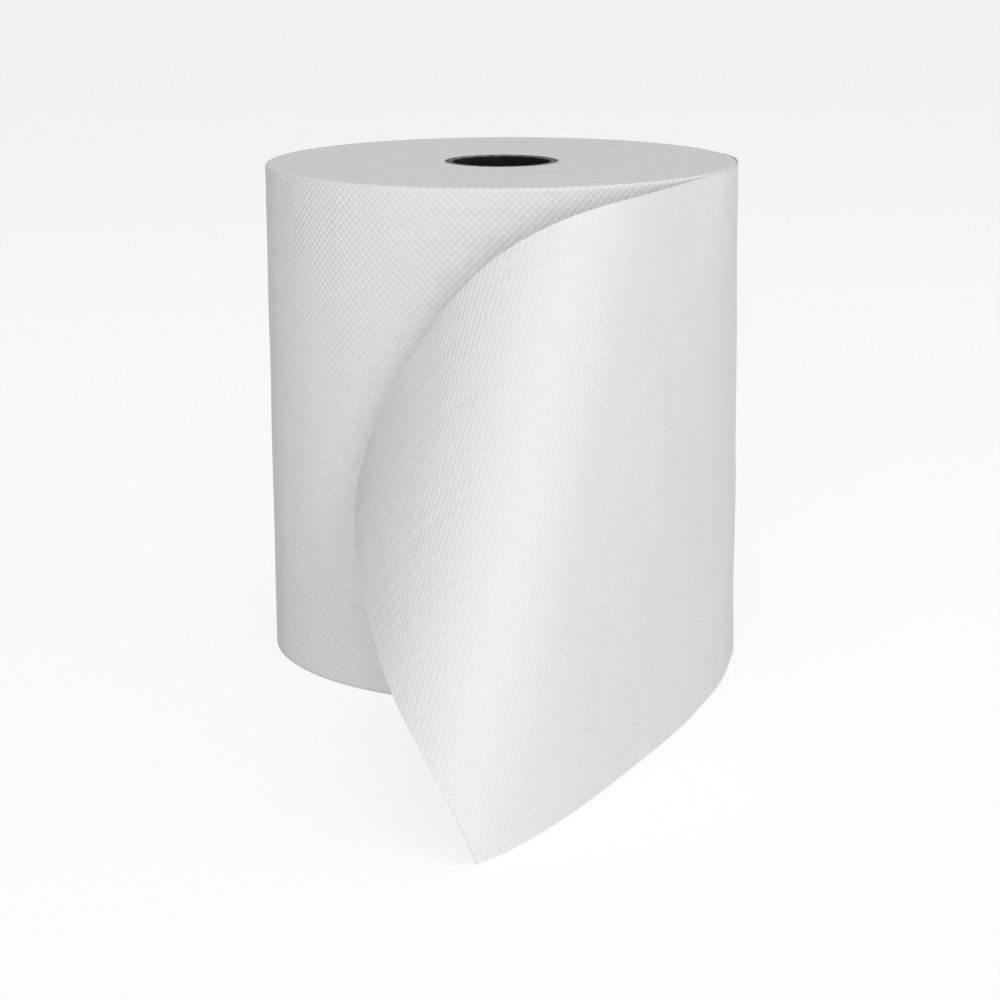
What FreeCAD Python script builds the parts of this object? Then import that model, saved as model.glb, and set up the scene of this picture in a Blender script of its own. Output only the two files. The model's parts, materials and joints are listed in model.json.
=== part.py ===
import FreeCAD, Part
import Sketcher
import math
import os
from FreeCAD import Placement, Rotation, Vector

# A roll of paper towel that stands on its end, with the loose end of its sheet peeled away.
# Millimetres. The origin is on the roll's axis, in the plane that the roll stands on. +Z is up
# along the axis, and the loose tail comes forward, towards -Y.
# Two pieces: the cardboard core, and the sheet, which is one solid from its innermost turn on
# the core to the torn edge of its tail.

SIZES = [
    ("roll_height", 200.0, "width of the sheet, and so height of the standing roll"),
    ("roll_radius", 95.5, "axis to the outside of the outermost turn"),
    ("sheet_thickness", 0.35, "one embossed sheet"),
    ("core_bore_radius", 20.0, "inside of the cardboard core"),
    ("core_wall", 3.0, "wall of the cardboard core"),
    ("turn_band", 3.6, "width of a band of turns that shows on an end face"),
    ("turn_step", 0.3, "how far every other band of turns lies back"),
    ("turn_margin", 3.5, "level turns that are kept beside the core and under the rim"),
    ("tail_length", 316.0, "from the line where the sheet leaves the roll to its torn edge"),
    ("peel_angle", 105.0, "degrees from the front, round to +X, to the line where it leaves"),
    ("floor_gap", 0.5, "how far the tail's lower edge stays off the ground"),
    ("floor_run", 70.0, "stretch over which the lower edge rises to that gap"),
]

# The tail is a flat sheet that is bent along fold lines. Each line of these tables gives the place
# of a fold line, as percent of the tail's length. BEND is how strongly the sheet is bent there,
# as the degrees that it would turn over the whole tail. SKEW is how far the lower end of the fold
# line runs ahead of its middle, as percent of the tail's length: 0 is an upright fold line.
BEND = {0: 125.0, 5: 200.0, 15: 100.0, 30: 60.0, 50: 40.0, 65: 70.0, 80: 710.0, 100: 140.0}
SKEW = {0: 0.0, 5: 0.0, 15: 3.0, 30: 10.0, 50: 29.0, 65: 25.0, 80: 25.0, 100: 21.0}

STRIP_TURN = 3.5        # most that the sheet turns at one fold line, in degrees
WIDEST_STRIP = 12.0     # flat sheet between two fold lines
NARROWEST_STRIP = 1.0
FIRST_STRIP = 4.0       # it goes straight on from the roll, so that the tail stands off it
LEAST_TURN = 1e-6       # degrees for each millimetre: less than this counts as flat
CORNER_CUT = 1.0        # what the last fold line leaves off at the upper corner
SEAM_REACH = 0.001      # edges this close together are one
FLATNESS = 1e-6         # a corner this close to its neighbours' plane lies in it
HALVINGS = 50           # steps that narrow a search down

doc = FreeCAD.newDocument("paper_towel_roll")
sheet = doc.addObject("Spreadsheet::Sheet", "sizes")


def write_sizes():
    """Puts every driving size in a cell of its own, with its name as the cell's alias."""
    rows = list(SIZES)
    rows += [("bend_at_%d" % place, value, "bend of the tail there") for place, value in BEND.items()]
    rows += [("skew_at_%d" % place, value, "skew of the fold line there") for place, value in SKEW.items()]
    for number, (name, value, note) in enumerate(rows, start=1):
        sheet.set("A%d" % number, name)
        sheet.set("B%d" % number, str(value))
        sheet.set("C%d" % number, note)
        sheet.setAlias("B%d" % number, name)


def size(name):
    return float(sheet.get(name))


def turned(degrees):
    """The level unit vector that many degrees from the front, round to +X."""
    angle = math.radians(degrees)
    return Vector(math.sin(angle), -math.cos(angle), 0)


def make_core():
    """The cardboard core: a tube as long as the sheet is wide."""
    body = doc.addObject("PartDesign::Body", "core")
    body.Label = "core"
    plane = next(item for item in body.Origin.OriginFeatures if item.Role == "XY_Plane")
    ring = body.newObject("Sketcher::SketchObject", "core_ring")
    ring.AttachmentSupport = [(plane, "")]
    ring.MapMode = "FlatFace"
    radii = [("bore", "sizes.core_bore_radius"), ("outside", "sizes.core_bore_radius + sizes.core_wall")]
    for number, (name, expression) in enumerate(radii):
        radius = size("core_bore_radius") + number * size("core_wall")
        ring.addGeometry(Part.Circle(Vector(0, 0, 0), Vector(0, 0, 1), radius), False)
        ring.addConstraint(Sketcher.Constraint("Coincident", number, 3, -1, 1))
        constraint = ring.addConstraint(Sketcher.Constraint("Radius", number, radius))
        ring.renameConstraint(constraint, name)
        ring.setExpression("Constraints." + name, expression)
    tube = body.newObject("PartDesign::Pad", "core_tube")
    tube.Profile = ring
    tube.setExpression("Length", "sizes.roll_height")
    ring.Visibility = False
    return body


def half_turns(radius, step, first, count):
    """Half circles that follow each other as a spiral. The spiral starts at the level direction
    first, in degrees from the front, at the given radius, and goes round towards the front from
    the right. Each half circle ends step further out than it starts."""
    arcs = []
    for number in range(count):
        start = radius + number * step
        out = turned(first - 180.0 * number)
        middle = turned(first - 180.0 * number - 90.0)
        centre = out * (-step / 2.0)
        arcs.append(Part.Arc(
            out * start,
            centre + middle * (start + step / 2.0),
            out * -(start + step),
        ).toShape())
    return arcs


def ends(arcs):
    """First and last point of a run of arcs."""
    points = [vertex.Point for arc in arcs for vertex in (arc.firstVertex(True), arc.lastVertex(True))]
    return points[0], points[-1]


def turn_outline():
    """The wound turns seen from above. The outermost turn grows by one sheet on its way round, and
    ends in a step one sheet high, where the tail begins."""
    thickness = size("sheet_thickness")
    inner = size("core_bore_radius") + size("core_wall")
    under = size("roll_radius") - thickness
    rim = half_turns(under, thickness / 2.0, size("peel_angle"), 2)
    start, end = ends(rim)
    outside = Part.Wire(rim + [Part.makeLine(end, start)])
    hole = Part.Wire(Part.makeCircle(inner))
    return Part.Face([outside, hole])


def band_outline():
    """The spiral of turns that lies back on an end face, one band wide and one band apart."""
    band = size("turn_band")
    inner = size("core_bore_radius") + size("core_wall") + size("turn_margin")
    room = size("roll_radius") - size("sheet_thickness") - size("turn_margin") - inner
    count = max(1, int((room - band) / band))
    near = half_turns(inner, band, size("peel_angle"), count)
    far = half_turns(inner + band, band, size("peel_angle"), count)
    near_start, near_end = ends(near)
    far_start, far_end = ends(far)
    edges = near + [Part.makeLine(near_end, far_end)] + far + [Part.makeLine(far_start, near_start)]
    return Part.Face(Part.Wire(Part.__sortEdges__(edges)))


def feature(name, shape):
    item = doc.addObject("Part::Feature", name)
    item.Shape = shape
    return item


def extruded(name, outline, length):
    item = doc.addObject("Part::Extrusion", name)
    item.Base = outline
    item.DirMode = "Custom"
    item.Dir = Vector(0, 0, 1)
    item.Solid = True
    item.setExpression("LengthFwd", length)
    return item


def cut(name, base, tool):
    item = doc.addObject("Part::Cut", name)
    item.Base = base
    item.Tool = tool
    return item


def make_turns():
    blank = extruded("wound_blank", feature("turn_outline", turn_outline()), "sizes.roll_height")
    band = feature("turn_band", band_outline())
    foot = extruded("foot_band", band, "sizes.turn_step")
    head = extruded("head_band", band, "sizes.turn_step")
    head.setExpression("Placement.Base.z", "sizes.roll_height - sizes.turn_step")
    return cut("wound_turns", cut("turns_with_foot", blank, foot), head)


def along(table, prefix, crossing):
    """The value of a table at a distance along the tail, straight between its places."""
    places = sorted(table)
    percent = min(max(100.0 * crossing / size("tail_length"), places[0]), places[-1])
    low, high = next(pair for pair in zip(places, places[1:]) if percent <= pair[1])
    start, end = size("%s_at_%d" % (prefix, low)), size("%s_at_%d" % (prefix, high))
    return start + (end - start) * (percent - low) / (high - low)


def slant(crossing):
    """How far a fold line leans: its run along the sheet for each millimetre that it drops."""
    ahead = along(SKEW, "skew", crossing) / 100.0 * size("tail_length")
    return ahead / (size("roll_height") / 2.0)


def turning(crossing):
    """Degrees of bend for each millimetre of sheet, square to the fold line."""
    return along(BEND, "bend", crossing) / size("tail_length") / math.hypot(1.0, slant(crossing))


def line_reaching(run, side):
    """Where the fold line lies whose upper end (side -1) or lower end (side 1) is that far along
    the sheet."""
    low, high = 0.0, 2.0 * size("tail_length")
    for halving in range(HALVINGS):
        middle = (low + high) / 2.0
        if middle + side * slant(middle) * size("roll_height") / 2.0 < run:
            low = middle
        else:
            high = middle
    return high


def fold_places():
    """Where the fold lines cross the middle of the sheet: close together where it bends strongly,
    with one through the lower corner and the last one just short of the upper corner."""
    length = size("tail_length")
    corner = line_reaching(length, 1)
    last = line_reaching(length - CORNER_CUT, -1)
    places = [0.0, FIRST_STRIP]
    while places[-1] < last - NARROWEST_STRIP:
        bend = max(turning(places[-1] + NARROWEST_STRIP), LEAST_TURN)
        places.append(places[-1] + min(WIDEST_STRIP, STRIP_TURN / bend))
    clear = [place for place in places[:-1] if abs(place - corner) > NARROWEST_STRIP]
    return sorted(clear + [corner, last])


def fold_lines():
    """Bends the flat tail into flat strips. Gives each fold line's four corners: its upper and
    lower end on the outer surface, and on the inner one."""
    length, height, thickness = size("tail_length"), size("roll_height"), size("sheet_thickness")
    out = turned(size("peel_angle"))
    ahead = turned(size("peel_angle") - 90.0)
    strip = Placement(out * size("roll_radius"), Rotation(ahead, out, Vector(0, 0, 1), "ZXY"))
    places = fold_places()
    # A strip points the way that the sheet has at its middle, but the first one at its start.
    middles = [0.0] + [(start + end) / 2.0 for start, end in zip(places[1:], places[2:])]
    lines = []
    lift = 0.0
    for number, place in enumerate(places):
        lean = slant(place)
        top = place - lean * height / 2.0
        foot = place + lean * height / 2.0
        level = 0.0
        if foot > length:
            foot, level = length, height / 2.0 - (length - place) / lean
        here = strip
        if 0 < number < len(places) - 1:
            turn = turning(place) * (middles[number] - middles[number - 1])
            middle = Vector(place, 0, height / 2.0)
            fold = Placement(Vector(0, 0, 0), Rotation(Vector(lean, 0, -1.0), turn), middle)
            strip = strip.multiply(fold)
        before = here.Rotation.multVec(Vector(0, 1, 0))
        after = strip.Rotation.multVec(Vector(0, 1, 0))
        inwards = (before + after) * (-thickness / (1.0 + before.dot(after)))
        upper = here.multVec(Vector(top, 0, height))
        lower = here.multVec(Vector(foot, 0, level))
        # The ground holds up what would reach below it.
        if level == 0.0:
            lift = max(0.0, size("floor_gap") * min(1.0, foot / size("floor_run")) - lower.z)
        lower = lower + Vector(0, 0, lift * (1.0 - level / height))
        lines.append((upper, lower, upper + inwards, lower + inwards))
    return lines


def flat_faces(*corners):
    """The flat face with these four corners, or two triangles where the ground's lift twists it."""
    first, second, third, fourth = corners
    across = (second - first).cross(third - first)
    if abs(across.dot(fourth - first)) < FLATNESS * across.Length:
        outlines = [corners]
    else:
        outlines = [(first, second, third), (first, third, fourth)]
    return [Part.Face(Part.makePolygon(outline + outline[:1])) for outline in outlines]


def tail_walls():
    """Every face of the tail but the one where it grows out of the outermost turn."""
    lines = fold_lines()
    faces = []
    for (top, foot, top_in, foot_in), following in zip(lines, lines[1:]):
        next_top, next_foot, next_top_in, next_foot_in = following
        faces += flat_faces(top, foot, next_foot, next_top)
        faces += flat_faces(top_in, foot_in, next_foot_in, next_top_in)
        faces += flat_faces(top, top_in, next_top_in, next_top)
        faces += flat_faces(foot, foot_in, next_foot_in, next_foot)
    top, foot, top_in, foot_in = lines[-1]
    return faces + flat_faces(top, foot, foot_in, top_in)


def make_towel_sheet():
    """The wound turns and the tail, joined at the step where the outermost turn ends."""
    turns = make_turns()
    doc.recompute()
    middle = size("roll_radius") - size("sheet_thickness") / 2.0
    step = turned(size("peel_angle")) * middle + Vector(0, 0, size("roll_height") / 2.0)
    faces = [face for face in turns.Shape.Faces if face.CenterOfMass.distanceToPoint(step) > SEAM_REACH]
    skin = Part.makeCompound(faces + tail_walls())
    skin.sewShape(SEAM_REACH)
    return feature("towel_sheet", Part.Solid(skin.Shells[0]))


write_sizes()
doc.recompute()
pieces = [make_core(), make_towel_sheet()]
doc.recompute()

for item in doc.Objects:
    if "Invalid" in item.State or "Error" in item.State:
        raise RuntimeError("%s failed to build: %s" % (item.Label, item.State))
for piece in pieces:
    shape = piece.Shape
    if shape.isNull() or not shape.isValid() or len(shape.Solids) != 1:
        raise RuntimeError("%s is not one sound solid" % piece.Label)

os.makedirs("parts", exist_ok=True)
for piece in pieces:
    piece.Shape.exportStep("parts/%s.step" % piece.Label)
    box = piece.Shape.BoundBox
    print("%s: %.1f cm3, %.1f x %.1f x %.1f mm" % (
        piece.Label, piece.Shape.Volume / 1000.0, box.XLength, box.YLength, box.ZLength))
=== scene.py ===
# %% [markdown]
# A roll of paper towel
#
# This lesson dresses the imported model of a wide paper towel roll. The real object has two
# pieces. One is a cardboard core. The other is a single web of embossed paper, wound about
# three hundred times round the core, with its loose end peeled away and drooping in front.
#
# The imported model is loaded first, because it says where every piece is. Nothing in it is
# moved. Each new piece is shaped in metres, where the model has it, and then stands in for
# the plain one.

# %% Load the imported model
import json
import math

import bmesh
import bpy
import numpy as np
from mathutils import Matrix, Vector, noise


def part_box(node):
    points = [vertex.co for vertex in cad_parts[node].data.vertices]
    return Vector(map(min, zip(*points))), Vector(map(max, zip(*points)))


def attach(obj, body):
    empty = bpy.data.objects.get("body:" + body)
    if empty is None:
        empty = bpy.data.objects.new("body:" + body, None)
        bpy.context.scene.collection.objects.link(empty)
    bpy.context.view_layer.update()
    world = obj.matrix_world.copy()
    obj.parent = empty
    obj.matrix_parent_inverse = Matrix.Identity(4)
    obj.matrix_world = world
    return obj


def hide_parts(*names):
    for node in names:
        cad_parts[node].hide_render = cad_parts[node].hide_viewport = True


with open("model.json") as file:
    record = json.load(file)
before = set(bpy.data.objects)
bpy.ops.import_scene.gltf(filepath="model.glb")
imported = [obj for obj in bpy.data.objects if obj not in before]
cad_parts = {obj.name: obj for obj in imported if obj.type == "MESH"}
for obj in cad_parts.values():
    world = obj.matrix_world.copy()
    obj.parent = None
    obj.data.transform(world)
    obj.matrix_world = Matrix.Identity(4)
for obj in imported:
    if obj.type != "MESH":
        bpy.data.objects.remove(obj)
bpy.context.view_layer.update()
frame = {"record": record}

# %% [markdown]
# Sizes
#
# A paper maker knows a roll by the width of its web, its diameter and its core. The web's
# width is the height of the standing roll, and the record's bore mount holds it with the
# core's bore. The embossing has a size of its own: raised dots in staggered rows, so that
# the rows read as diagonals. A column here is half the distance between two dots, and so is
# a row, which puts a dot on every other crossing.

# %% Sizes of the roll, its core and its embossing
MM = 0.001
bore = next(mount for mount in frame["record"]["mounts"] if mount["name"] == "core_bore")
CORE_BORE = bore["dims"]["r_mm"] * MM
ROLL_HEIGHT = bore["dims"]["length_mm"] * MM
CORE_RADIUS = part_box("core")[1].x
ROLL_RADIUS = 95.5 * MM
SHEET_THICKNESS = 0.35 * MM

PEEL_ANGLE = 105.0          # degrees from the front, round to +X, to where the tail leaves
TAIL_LENGTH = 316.0 * MM

ROWS = 130                  # rows of the embossing over the web's width
TURN_COLUMNS = 396          # columns round the outermost turn
TAIL_COLUMNS = 208
DOT_HEIGHT = 0.12 * MM
COLUMN = TAIL_LENGTH / TAIL_COLUMNS
MERGE_REACH = 0.01 * MM     # points closer than this are one
print("a column is %.3f mm wide, and a row %.3f mm high" % (COLUMN / MM, ROLL_HEIGHT / ROWS / MM))


# %% [markdown]
# Camera
#
# The lens stands a little above the roll's upper end and looks down on it, so that the end
# shows as a thin ellipse. Its distance and focal length were found together: the ellipses of
# the two ends give the distance, and the roll's size in the frame then gives the lens. The
# picture leans by a quarter of a degree.

# %% Camera
CAMERA_PLACE = Vector((0.0, -1.0849, 0.3188))
CAMERA_PITCH = 13.5         # degrees below the horizon
CAMERA_YAW = -0.06
CAMERA_ROLL = -0.24
CAMERA_LENS = 96.04         # millimetres, on a sensor 36 mm wide


def turn(degrees, axis):
    """A rotation about X, Y or Z."""
    return Matrix.Rotation(math.radians(degrees), 4, axis)


def make_camera():
    data = bpy.data.cameras.new("camera")
    data.lens = CAMERA_LENS
    data.sensor_width = 36.0
    camera = bpy.data.objects.new("camera", data)
    bpy.context.scene.collection.objects.link(camera)
    aim = turn(-CAMERA_YAW, "Z") @ turn(90.0 - CAMERA_PITCH, "X") @ turn(CAMERA_ROLL, "Z")
    camera.matrix_world = Matrix.Translation(CAMERA_PLACE) @ aim
    bpy.context.scene.camera = camera
    return camera


camera = make_camera()
print("camera stands at", list(camera.location))


# %% [markdown]
# Helpers for meshes
#
# A finished piece is a mesh with its place in its vertices and its object at the origin.
# Every piece goes through one function, which also lets it ride on the imported body and hides
# the plain node it stands in for.

# %% Helpers for meshes
def finish_piece(bm, name, materials, replaced):
    """Turns a bmesh into a piece of the roll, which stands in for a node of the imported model."""
    mesh = bpy.data.meshes.new(name)
    bm.to_mesh(mesh)
    bm.free()
    for material in materials:
        mesh.materials.append(material)
    mesh.shade_smooth()
    piece = bpy.data.objects.new(name, mesh)
    bpy.context.scene.collection.objects.link(piece)
    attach(piece, "root")
    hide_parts(replaced)
    return piece


def outward(degrees):
    """The level direction that many degrees from the front, round to +X."""
    angle = math.radians(degrees)
    return Vector((math.sin(angle), -math.cos(angle), 0.0))


# %% [markdown]
# Shader maths
#
# A finish is a small net of nodes. Written node by node, a sum of three waves takes a page.
# So a small class wraps the output of a node and gives it the signs of arithmetic. Each sign
# adds a Math node. All other nodes come from one method.

# %% Helpers for finishes
class Wire:
    """A number that changes over a surface, with the arithmetic to shape it."""

    def __init__(self, finish, socket):
        self.finish = finish
        self.socket = socket

    def maths(self, operation, *values):
        inputs = dict(enumerate(values))
        return self.finish.node("ShaderNodeMath", {"operation": operation}, inputs)

    def __add__(self, other):
        return self.maths("ADD", self, other)

    def __radd__(self, other):
        return self.maths("ADD", other, self)

    def __sub__(self, other):
        return self.maths("SUBTRACT", self, other)

    def __rsub__(self, other):
        return self.maths("SUBTRACT", other, self)

    def __mul__(self, other):
        return self.maths("MULTIPLY", self, other)

    def __rmul__(self, other):
        return self.maths("MULTIPLY", other, self)

    def __pow__(self, other):
        return self.maths("POWER", self, other)

    def cosine(self):
        return self.maths("COSINE", self)


class Finish:
    """A material that is built up node by node, round one Principled BSDF."""

    def __init__(self, name):
        self.material = bpy.data.materials.new(name)
        self.material.use_nodes = True
        self.tree = self.material.node_tree
        self.surface = self.tree.nodes["Principled BSDF"]

    def node(self, kind, settings, inputs, output=0):
        """A node of a kind, its settings first, and then its sockets. Gives one output."""
        made = self.tree.nodes.new(kind)
        for name, value in settings.items():
            setattr(made, name, value)
        for name, value in inputs.items():
            self.join(made.inputs[name], value)
        return Wire(self, made.outputs[output])

    def join(self, socket, value):
        if isinstance(value, Wire):
            self.tree.links.new(value.socket, socket)
        else:
            socket.default_value = value

    def set(self, **sockets):
        """Sets or links the surface's own sockets, with _ for a space in a name."""
        for name, value in sockets.items():
            self.join(self.surface.inputs[name.replace("_", " ")], value)

    def noise(self, place, scale, detail=2.0):
        """Cloudy numbers about 0.5."""
        inputs = {"Vector": place, "Scale": scale, "Detail": detail}
        return self.node("ShaderNodeTexNoise", {}, inputs, "Fac")

    def parts(self, vector):
        """The three numbers of a vector."""
        split = self.node("ShaderNodeSeparateXYZ", {}, {"Vector": vector})
        outputs = split.socket.node.outputs
        return [Wire(self, outputs[name]) for name in ("X", "Y", "Z")]

    def vector(self, x, y, z):
        return self.node("ShaderNodeCombineXYZ", {}, {"X": x, "Y": y, "Z": z})

    def blend(self, share, first, second):
        """A colour between two, at a share from 0 to 1."""
        settings = {"data_type": "RGBA"}
        inputs = {"Factor": share, 6: first, 7: second}
        return self.node("ShaderNodeMix", settings, inputs, 2)

    def relief(self, height):
        """Normals for a height in metres."""
        return self.node("ShaderNodeBump", {}, {"Strength": 1.0, "Distance": 1.0, "Height": height})


# %% [markdown]
# The colour is paler on the dots and darker between them, which is painted shade in the hollows, and
# a slow cloud adds a random tone.
# Embossed paper
#
# Towel paper is near white and has no shine. What the eye reads is the relief: dots in
# staggered rows, soft bands that the winding leaves along the web, and loose fibre. A product
# of two cosines has its peaks on every other crossing of the columns and rows, just where the
# mesh has its raised points, so both come from the web's own map. Raised to a power, the
# peaks draw in to round dots. Low ridges join the dots along one of the two diagonals, and a
# slow cloud makes the embossing deep in one place and flat in another, as the press does.
#
# The wound turns are white through and through. The loose tail is a single layer that lets
# some light pass, so it looks a little greyer, and off the roll its embossing has relaxed.
# The map tells the two apart: it counts up from zero where the tail leaves the roll, and is
# negative on the turns, so one finish goes over from the one look to the other.

# %% Finish of the embossed paper
WOUND_PAPER = (0.91, 0.91, 0.91, 1.0)
WOUND_SHADE_BETWEEN_DOTS = (0.84, 0.84, 0.84, 1.0)     # painted shade between the dots, where less light comes in
LOOSE_PAPER = (0.86, 0.86, 0.86, 1.0)
# painted shade between the dots of the loose tail
LOOSE_SHADE_BETWEEN_DOTS = (0.80, 0.80, 0.80, 1.0)
LOOSE_DEPTH = 0.65                      # what is left of the embossing's depth off the roll
LOOSE_RUN = 60.0 * MM                   # how far along the tail the one look becomes the other
WEB_MAP = "web"


def embossed_paper():
    finish = Finish("embossed_paper")
    place = finish.node("ShaderNodeUVMap", {"uv_map": WEB_MAP}, {})
    along, up, _ = finish.parts(place)
    crossing = (along * math.tau).cosine() * (up * math.tau).cosine()
    dots = (crossing * 0.5 + 0.5) ** 2.5
    ridges = ((along + up) * math.tau).cosine() * 0.5
    loose = finish.node("ShaderNodeClamp", {}, {"Value": along * (2.0 * COLUMN / LOOSE_RUN)})
    press = (finish.noise(place, 0.025) * 2.6 - 0.3) * (loose * (LOOSE_DEPTH - 1.0) + 1.0)
    fibre = finish.noise(place, 3.1, 3.0)
    bands = finish.noise(finish.vector(along * 0.03, up * 0.55, 0.0), 1.0, 1.0)
    clouds = finish.noise(place, 0.35)
    relief = (dots * 1.9 + ridges * 0.5) * press
    height = relief * DOT_HEIGHT + fibre * (0.12 * MM) + bands * (0.45 * MM)
    # painted shade: darker colour between the dots, paler on them; the clouds are a random tone
    dot_shade_and_tone = dots * 0.7 + clouds * 0.4
    low = finish.blend(loose, WOUND_SHADE_BETWEEN_DOTS, LOOSE_SHADE_BETWEEN_DOTS)
    pale = finish.blend(loose, WOUND_PAPER, LOOSE_PAPER)
    finish.set(
        Base_Color=finish.blend(dot_shade_and_tone, low, pale),
        Roughness=0.86 + fibre * 0.12,
        Normal=finish.relief(height),
    )
    finish.surface.inputs["Specular IOR Level"].default_value = 0.25
    finish.surface.inputs["Sheen Weight"].default_value = 0.05
    return finish.material


embossed = embossed_paper()
print("finish made:", embossed.name)


# %% [markdown]
# Edges of the turns
#
# The end of a roll shows the cut edges of all its turns. They're a fifth of a millimetre
# apart, so they blend into a matt grey white with faint rings where the blade pressed one
# turn in front of the next. Noise that is stretched round the axis gives such rings: it
# changes fast with the distance from the axis, and slowly across the roll.

# %% Finish of the cut edges
EDGES = (0.83, 0.83, 0.83, 1.0)
EDGES_LOW = (0.74, 0.74, 0.74, 1.0)


def cut_edges():
    finish = Finish("cut_edges")
    place = finish.node("ShaderNodeTexCoord", {}, {}, "Object")
    across, along, _ = finish.parts(place)
    far = (across * across + along * along) ** 0.5
    rings = finish.noise(finish.vector(across * 12.0, along * 12.0, far * 900.0), 1.0, 2.0)
    bands = finish.noise(finish.vector(across * 6.0, along * 6.0, far * 160.0), 1.0, 2.0)
    fibre = finish.noise(place, 2600.0, 2.0)
    height = rings * (0.10 * MM) + bands * (0.12 * MM) + fibre * (0.04 * MM)
    finish.set(
        Base_Color=finish.blend(rings * 0.7 + bands * 0.5 - 0.1, EDGES_LOW, EDGES),
        Roughness=0.88 + fibre * 0.1,
        Normal=finish.relief(height),
    )
    finish.surface.inputs["Specular IOR Level"].default_value = 0.2
    return finish.material


edges = cut_edges()
print("finish made:", edges.name)


# %% [markdown]
# The wound turns
#
# On the real roll this is one web, wound tight. Seen as a solid it has a spiral outside: the
# outermost turn climbs by one sheet on its way round and ends in a step, where the tail
# leaves. A spin of the roll's section would give a round wall, but hundreds of steps of it
# are slow. So a flat grid is wrapped round the axis instead: its columns go round the roll,
# and its rows follow the section, from the core out and back. Each point then finds its
# place. On the outside it moves out with the spiral and with the embossing, and on the ends
# it sinks into a shallow spiral groove.

# %% Section of the wound turns
RING_COUNT = 40                     # rings of points on each end
RIM_REACH = 0.5 * MM                # how far the rim is rounded off
END_GROOVE = 0.12 * MM
GROOVE_PITCH = 7.2 * MM
GROOVE_START = CORE_RADIUS + MM     # the turns lie even against the core
WALL_SWELL = 0.25 * MM              # how uneven the outermost turn is
WALL_SPAN = 35.0 * MM
CALM_SHARE = 1.0 / 12.0             # the part of a turn, beside the step, that stays even


def roll_section():
    """Points of the section as (distance from the axis, height), all the way round it."""
    rings = np.linspace(CORE_RADIUS, ROLL_RADIUS - SHEET_THICKNESS - RIM_REACH, RING_COUNT)
    wall = np.linspace(0.0, ROLL_HEIGHT, ROWS + 1)
    wall[0] += RIM_REACH
    wall[-1] -= RIM_REACH
    lower = [(ring, 0.0) for ring in rings]
    outside = [(ROLL_RADIUS - SHEET_THICKNESS, level) for level in wall]
    upper = [(ring, ROLL_HEIGHT) for ring in rings[::-1]]
    return lower + outside + upper


section = roll_section()
print("the section has", len(section), "points")


# %% Wrap a grid into the wound turns
def is_raised(column, row):
    """Whether the embossing has a dot where that column meets that row."""
    return (column + row) % 2 == 0


def unevenness(place, span, height):
    """A smooth, cloudy height, about 0, that changes over that span."""
    return noise.noise(place / span) * height


def section_grid(bm):
    """A flat grid with a column for each step round the roll and a row for each point of the
    section. Gives the column and the point of each vertex."""
    around = len(section)
    bmesh.ops.create_grid(bm, x_segments=TURN_COLUMNS, y_segments=around, size=0.5)
    bm.verts.index_update()
    return [
        (round((vert.co.x + 0.5) * TURN_COLUMNS), round((vert.co.y + 0.5) * around) % around)
        for vert in bm.verts
    ]


def wall_point(column, row, level):
    """A point of the outermost turn, which climbs by one sheet on its way round."""
    share = column / TURN_COLUMNS
    out = outward(PEEL_ANGLE - 360.0 * share)
    calm = min(1.0, min(share, 1.0 - share) / CALM_SHARE)
    reach = ROLL_RADIUS - SHEET_THICKNESS * (1.0 - share) + DOT_HEIGHT * is_raised(column, row)
    place = out * reach + Vector((0.0, 0.0, level))
    return place + out * calm * unevenness(place, WALL_SPAN, WALL_SWELL)


def end_point(column, distance, level):
    """A point of an end, where every other band of turns lies back in a spiral."""
    share = column / TURN_COLUMNS
    phase = math.tau * (distance / GROOVE_PITCH - share)
    depth = END_GROOVE * (0.5 - 0.5 * math.cos(phase)) * (distance > GROOVE_START)
    level += depth if level < ROLL_HEIGHT / 2.0 else -depth
    return outward(PEEL_ANGLE - 360.0 * share) * distance + Vector((0.0, 0.0, level))


def make_wound_turns():
    bm = bmesh.new()
    grid = section_grid(bm)
    web = bm.loops.layers.uv.new(WEB_MAP)
    low = []
    for vert, (column, point) in zip(bm.verts, grid):
        distance, level = section[point]
        row = point - RING_COUNT
        if 0 <= row <= ROWS:
            vert.co = wall_point(column, row, level)
            if not is_raised(column, row):
                low.append(vert)
        else:
            vert.co = end_point(column, distance, level)
    for face in bm.faces:
        numbers = [grid[vert.index] for vert in face.verts]
        rows = [point - RING_COUNT for column, point in numbers]
        face.material_index = int(sum(0 <= row <= ROWS for row in rows) < 2)
        for loop, (column, point), row in zip(face.loops, numbers, rows):
            loop[web].uv = ((column - TURN_COLUMNS) / 2.0, row / 2.0)
    bmesh.ops.connect_verts(bm, verts=low)
    bmesh.ops.remove_doubles(bm, verts=bm.verts, dist=MERGE_REACH)
    step = [edge for edge in bm.edges if edge.is_boundary]
    print("the step where the outermost turn ends has", len(step), "open edges")
    for edge in step:
        edge.smooth = False
    bmesh.ops.triangle_fill(bm, edges=step, use_beauty=True)
    bmesh.ops.recalc_face_normals(bm, faces=bm.faces)
    return finish_piece(bm, "wound_turns", [embossed, edges], "towel_sheet")


wound_turns = make_wound_turns()
print("wound turns:", len(wound_turns.data.polygons), "faces")


# %% [markdown]
# The loose tail
#
# Paper doesn't stretch. It bends along straight lines only, and where it curls, those lines
# fan out or slant. So the tail starts as a flat sheet, cut to its real size, and is folded a
# little along each of many slanting lines. The folds are made from the torn edge back to the
# root: every line is still in the flat part of the sheet when its turn comes, and the rest of
# the tail swings round it. Last, the whole is set against the step of the outermost turn. The
# tail's own edges are marked sharp, so that the paper shades evenly up to the cut.
#
# Two short tables say how the tail hangs. Their places are percents of its length.

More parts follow.
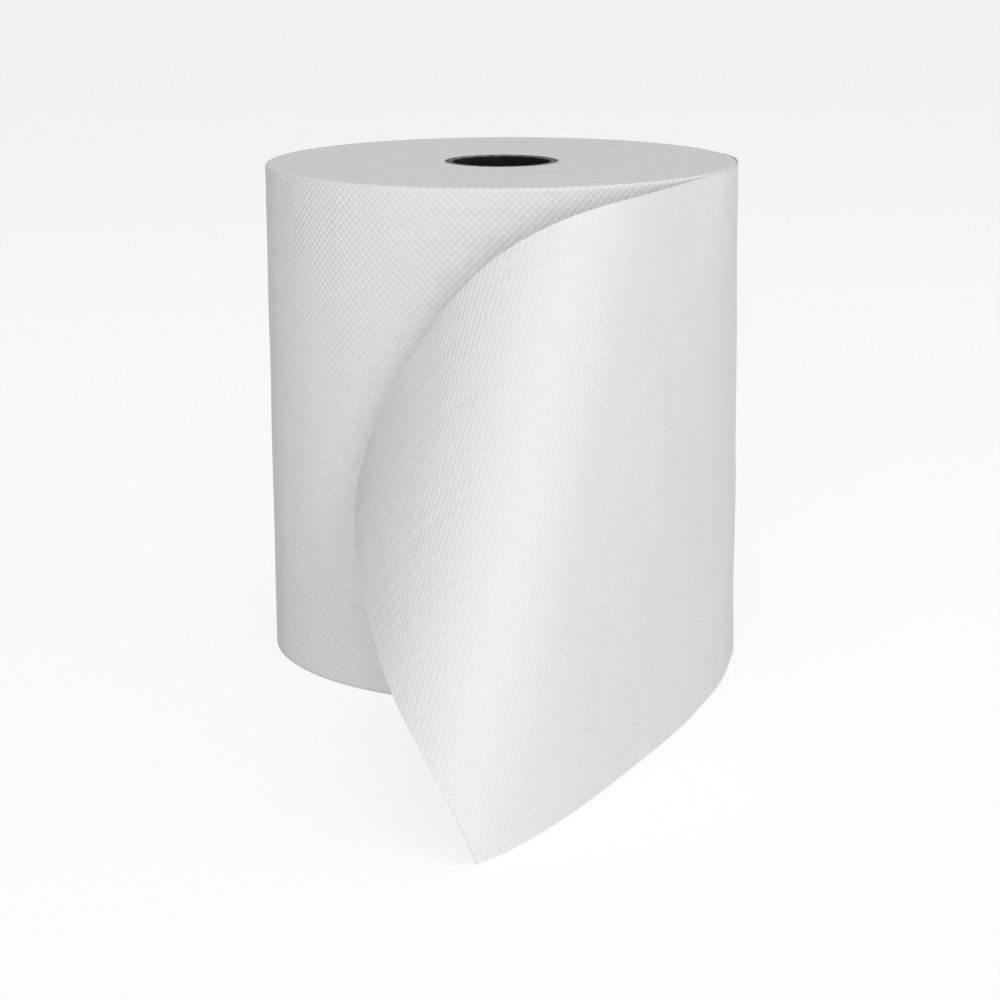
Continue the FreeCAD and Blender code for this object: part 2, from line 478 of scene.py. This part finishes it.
# %% How the tail bends
BEND = {0: 125.0, 5: 200.0, 15: 100.0, 30: 60.0, 50: 40.0, 65: 70.0, 80: 710.0, 100: 140.0}
SKEW = {0: 0.0, 5: 0.0, 15: 3.0, 30: 10.0, 50: 29.0, 65: 25.0, 80: 25.0, 100: 21.0}
FOLD_STEP = 0.75 * MM
HALVINGS = 40
FLOOR_GAP = 0.5 * MM        # how far the tail's lower edge stays off the ground
FLOOR_RUN = 70.0 * MM       # how far along the tail that gap opens
WAVE_RUN = 60.0 * MM        # how far along the tail the sheet's own waves grow
LONG_WAVE = 45.0 * MM
LONG_SWELL = 0.7 * MM
SHORT_WAVE = 16.0 * MM
SHORT_SWELL = 0.2 * MM


def along_tail(table, crossing):
    """The value of a table at a distance along the middle of the tail."""
    return np.interp(100.0 * crossing / TAIL_LENGTH, list(table), list(table.values()))


def slant(crossing):
    """How far a fold line runs along the sheet for each metre that it drops."""
    return along_tail(SKEW, crossing) / 100.0 * TAIL_LENGTH / (ROLL_HEIGHT / 2.0)


def fold_through(run, level):
    """Where the fold line through a point of the flat sheet crosses the sheet's middle."""
    low = np.full_like(run, -TAIL_LENGTH)
    high = np.full_like(run, 2.0 * TAIL_LENGTH)
    for halving in range(HALVINGS):
        middle = (low + high) / 2.0
        short = middle + slant(middle) * (ROLL_HEIGHT / 2.0 - level) < run
        low = np.where(short, middle, low)
        high = np.where(short, high, middle)
    return high


def web_place(place):
    """The column and the row of the embossing at a point of the flat tail."""
    return place.x / COLUMN, place.z / ROLL_HEIGHT * ROWS


def is_dot(place):
    """Whether the embossing has a dot at a point of the flat tail."""
    column, row = web_place(place)
    return is_raised(round(column), round(row))


# %% Cut, fold and place the tail
def flat_tail(bm):
    """The tail's sheet, flat: its length along X, and its width up Z, from the root's corner."""
    bmesh.ops.create_grid(bm, x_segments=TAIL_COLUMNS, y_segments=ROWS, size=0.5)
    upright = Matrix.Rotation(math.radians(90.0), 4, "X")
    grow = Matrix.Diagonal((TAIL_LENGTH, 1.0, ROLL_HEIGHT, 1.0))
    corner = Matrix.Translation((TAIL_LENGTH / 2.0, 0.0, ROLL_HEIGHT / 2.0))
    bmesh.ops.transform(bm, matrix=corner @ grow @ upright, verts=bm.verts)


def fold_tail(bm, crossings):
    """Folds the sheet along its slanting lines, from the torn edge to the root."""
    order = np.argsort(crossings)
    verts = list(bm.verts)
    beyond = [verts[number] for number in order]
    ranked = crossings[order]
    lines = np.arange(FOLD_STEP / 2.0, ranked[-1], FOLD_STEP)
    for line in lines[::-1]:
        lean = float(slant(line))
        bend = float(along_tail(BEND, line)) / TAIL_LENGTH / math.hypot(1.0, lean)
        fold = Matrix.Rotation(math.radians(bend * FOLD_STEP), 3, Vector((lean, 0.0, -1.0)))
        bmesh.ops.rotate(
            bm, cent=(line, 0.0, ROLL_HEIGHT / 2.0), matrix=fold,
            verts=beyond[int(np.searchsorted(ranked, line)):],
        )
    return len(lines)


def place_tail(bm):
    """Sets the folded tail against the end of the outermost turn."""
    ahead, out = outward(PEEL_ANGLE - 90.0), outward(PEEL_ANGLE)
    axes = Matrix((ahead, out, Vector((0.0, 0.0, 1.0)))).transposed().to_4x4()
    bmesh.ops.transform(bm, matrix=Matrix.Translation(out * ROLL_RADIUS) @ axes, verts=bm.verts)


def rest_on_ground(bm, crossings, flat):
    """Lifts the tail where its lower edge would reach below the ground. A fold line tilts
    about its upper end, so the lift fades out towards the upper edge."""
    foot = [number for number, vert in enumerate(flat) if vert.z < MM / 10.0]
    foot.sort(key=lambda number: crossings[number])
    verts = list(bm.verts)
    lifts = []
    for number in foot:
        gap = FLOOR_GAP * min(1.0, flat[number].x / FLOOR_RUN)
        lifts.append(max(0.0, gap - verts[number].co.z))
    lift = np.interp(crossings, crossings[foot], lifts)
    for vert, level, rise in zip(verts, flat, lift):
        vert.co.z += rise * (1.0 - level.z / ROLL_HEIGHT)
    return max(lifts)


def emboss_tail(bm, flat):
    """Raises the dots, and gives the sheet the soft waves of paper that was wound up."""
    bm.normal_update()
    normals = [vert.normal.copy() for vert in bm.verts]
    for vert, normal, place in zip(bm.verts, normals, flat):
        free = min(1.0, place.x / WAVE_RUN)
        waves = unevenness(place, LONG_WAVE, LONG_SWELL) + unevenness(place, SHORT_WAVE, SHORT_SWELL)
        vert.co += normal * (DOT_HEIGHT * is_dot(place) + free * waves)


def make_loose_tail():
    bm = bmesh.new()
    flat_tail(bm)
    flat = [vert.co.copy() for vert in bm.verts]
    web = bm.loops.layers.uv.new(WEB_MAP)
    for face in bm.faces:
        for loop in face.loops:
            column, row = web_place(loop.vert.co)
            loop[web].uv = (column / 2.0, row / 2.0)
    runs, levels = np.array([place.x for place in flat]), np.array([place.z for place in flat])
    crossings = fold_through(runs, levels)
    folds = fold_tail(bm, crossings)
    place_tail(bm)
    lift = rest_on_ground(bm, crossings, flat)
    print("the tail has", folds, "folds, and the ground lifts it by %.1f mm" % (lift / MM))
    out = outward(PEEL_ANGLE)
    first = min(bm.faces, key=lambda face: (face.calc_center_median() - out * ROLL_RADIUS).length)
    if first.normal.dot(out) < 0.0:
        bmesh.ops.reverse_faces(bm, faces=bm.faces)
    emboss_tail(bm, flat)
    low = [vert for vert, place in zip(bm.verts, flat) if not is_dot(place)]
    bmesh.ops.connect_verts(bm, verts=low)
    for edge in bm.edges:
        edge.smooth = not edge.is_boundary
    return finish_piece(bm, "loose_tail", [embossed], "towel_sheet")


loose_tail = make_loose_tail()
low_corner = min((vert.co for vert in loose_tail.data.vertices), key=lambda place: place.y)
print("the tail's foremost point is", [round(value, 4) for value in low_corner])

# %% Give the tail its thickness
thickness = loose_tail.modifiers.new("thickness", "SOLIDIFY")
thickness.thickness = SHEET_THICKNESS
thickness.offset = -1.0


# %% [markdown]
# The core
#
# The core is a tube of grey board, wound from strips on a slant. Two things show it: the
# strips' seam, which climbs inside the bore as a helix, and the cut ends, where the plies
# make a mottled ring. A section of the wall is spun round the axis, and the bore wall gets the
# seam as a slight groove. The bore wall is painted near black, as painted shade for the dark
# inside of the tube; only the ends show the grey board.

# %% Finishes of the core
BOARD = (0.28, 0.275, 0.27, 1.0)
BOARD_DARK = (0.07, 0.068, 0.066, 1.0)
# painted shade: the bore wall is near black for the shade deep in the tube, not the board's own
# colour
BORE_SHADE = (0.006, 0.006, 0.006, 1.0)
BORE_SHADE_PALER = (0.015, 0.014, 0.014, 1.0)


def board_finish(name, dark, light, grain, roughness):
    finish = Finish(name)
    place = finish.node("ShaderNodeTexCoord", {}, {}, "Object")
    specks = finish.noise(place, grain, 4.0)
    clouds = finish.noise(place, grain / 6.0)
    share = (specks + clouds - 0.5) ** 2.0 * 2.0
    finish.set(
        Base_Color=finish.blend(share, dark, light),
        Roughness=roughness,
        Normal=finish.relief(specks * (0.15 * MM)),
    )
    finish.surface.inputs["Specular IOR Level"].default_value = 0.2
    return finish.material


core_end = board_finish("core_end", BOARD_DARK, BOARD, 1800.0, 0.95)
# the bore wall's finish is painted shade, mottled a little
core_bore_shade = board_finish("core_bore_shade", BORE_SHADE, BORE_SHADE_PALER, 700.0, 0.98)
print("finishes made:", core_end.name, core_bore_shade.name)

# %% The core
CORE_COLUMNS = 128
CORE_ROWS = 80
SEAM_PITCH = 110.0 * MM             # rise of the seam in one turn
SEAM_WIDTH = 3.0 * MM
SEAM_DEPTH = 0.4 * MM
EDGE_ROUND = 0.4 * MM
BORE_REACH = CORE_BORE + EDGE_ROUND / 4.0     # what is nearer to the axis is the bore wall, which takes the painted shade


def make_core():
    bm = bmesh.new()
    inside = np.linspace(EDGE_ROUND, ROLL_HEIGHT - EDGE_ROUND, CORE_ROWS + 1)
    corners = [(CORE_BORE, level) for level in inside]
    corners += [(CORE_BORE + EDGE_ROUND, ROLL_HEIGHT), (CORE_RADIUS, ROLL_HEIGHT)]
    corners += [(CORE_RADIUS, 0.0), (CORE_BORE + EDGE_ROUND, 0.0)]
    points = [bm.verts.new((distance, 0.0, level)) for distance, level in corners]
    ring = [bm.edges.new((here, after)) for here, after in zip(points, points[1:] + points[:1])]
    bmesh.ops.spin(
        bm, geom=points + ring, cent=(0, 0, 0), axis=(0, 0, 1), angle=math.tau,
        steps=CORE_COLUMNS, use_merge=True,
    )
    bmesh.ops.remove_doubles(bm, verts=bm.verts, dist=MERGE_REACH)
    bmesh.ops.recalc_face_normals(bm, faces=bm.faces)
    for face in bm.faces:
        middle = face.calc_center_median()
        # faces of the bore wall take the painted shade
        face.material_index = int(math.hypot(middle.x, middle.y) < BORE_REACH)
    for vert in bm.verts:
        distance = math.hypot(vert.co.x, vert.co.y)
        if distance < BORE_REACH:
            share = (math.atan2(vert.co.y, vert.co.x) / math.tau - vert.co.z / SEAM_PITCH) % 1.0
            off = min(share, 1.0 - share) * SEAM_PITCH
            depth = SEAM_DEPTH * max(0.0, 1.0 - off / SEAM_WIDTH)
            vert.co.x *= 1.0 + depth / distance
            vert.co.y *= 1.0 + depth / distance
    return finish_piece(bm, "core_tube", [core_end, core_bore_shade], "core")


core_tube = make_core()
print("core:", len(core_tube.data.polygons), "faces")


# %% [markdown]
# Floor and light
#
# The roll is shown on a plain white ground, in soft light. A large lamp stands behind the
# camera, a weaker one fills the right side, a third hangs over the roll, and the pale world
# fills the rest, so the left side is the darkest. The lamps are kept so low that no paper
# clips to white. What the camera sees of the floor is lifted to near white by the floor's own
# finish, and the floor still takes the shadow.

# %% Floor
FLOOR_SIZE = 30.0
FLOOR_PALE = (0.80, 0.80, 0.80, 1.0)
FLOOR_GLOW = 1.13
GLOW_SHARE = 0.7


def floor_finish():
    finish = Finish("floor")
    tree = finish.tree
    path = finish.node("ShaderNodeLightPath", {}, {}).socket.node.outputs
    seen = Wire(finish, path["Is Camera Ray"]) + Wire(finish, path["Is Glossy Ray"])
    plain = finish.node("ShaderNodeBsdfDiffuse", {}, {"Color": FLOOR_PALE})
    glow = finish.node("ShaderNodeEmission", {}, {"Strength": FLOOR_GLOW})
    shown = finish.node("ShaderNodeMixShader", {}, {0: seen * GLOW_SHARE, 1: plain, 2: glow})
    output = next(node for node in tree.nodes if node.type == "OUTPUT_MATERIAL")
    tree.links.new(shown.socket, output.inputs["Surface"])
    tree.nodes.remove(finish.surface)
    return finish.material


def make_floor():
    bm = bmesh.new()
    bmesh.ops.create_grid(bm, x_segments=1, y_segments=1, size=FLOOR_SIZE / 2.0)
    mesh = bpy.data.meshes.new("floor")
    bm.to_mesh(mesh)
    bm.free()
    mesh.materials.append(floor_finish())
    floor = bpy.data.objects.new("floor", mesh)
    bpy.context.scene.collection.objects.link(floor)
    return floor


floor = make_floor()

# %% Lamps
ROLL_MIDDLE = Vector((0.0, 0.0, ROLL_HEIGHT / 2.0))


def make_lamp(name, place, width, watts):
    """A square softbox that faces the middle of the roll."""
    data = bpy.data.lights.new(name, "AREA")
    data.shape = "SQUARE"
    data.size = width
    data.energy = watts
    lamp = bpy.data.objects.new(name, data)
    bpy.context.scene.collection.objects.link(lamp)
    lamp.location = place
    lamp.rotation_euler = (ROLL_MIDDLE - Vector(place)).to_track_quat("-Z", "Y").to_euler()
    return lamp


make_lamp("key", (0.0, -2.33, 0.68), 1.4, 27.0)
make_lamp("fill", (2.28, -0.4, 0.72), 1.6, 11.5)
make_lamp("top", (0.0, 0.0, 1.9), 1.4, 9.5)

# %% World
WORLD_LIGHT = 0.34


def make_world():
    world = bpy.data.worlds.new("studio")
    world.use_nodes = True
    nodes, links = world.node_tree.nodes, world.node_tree.links
    background = nodes["Background"]
    background.inputs["Color"].default_value = (1.0, 1.0, 1.0, 1.0)
    background.inputs["Strength"].default_value = WORLD_LIGHT
    white = nodes.new("ShaderNodeBackground")
    white.inputs["Color"].default_value = (1.0, 1.0, 1.0, 1.0)
    path = nodes.new("ShaderNodeLightPath")
    mix = nodes.new("ShaderNodeMixShader")
    links.new(path.outputs["Is Camera Ray"], mix.inputs[0])
    links.new(background.outputs[0], mix.inputs[1])
    links.new(white.outputs[0], mix.inputs[2])
    links.new(mix.outputs[0], nodes["World Output"].inputs["Surface"])
    bpy.context.scene.world = world


make_world()
bpy.context.scene.view_settings.view_transform = "Standard"
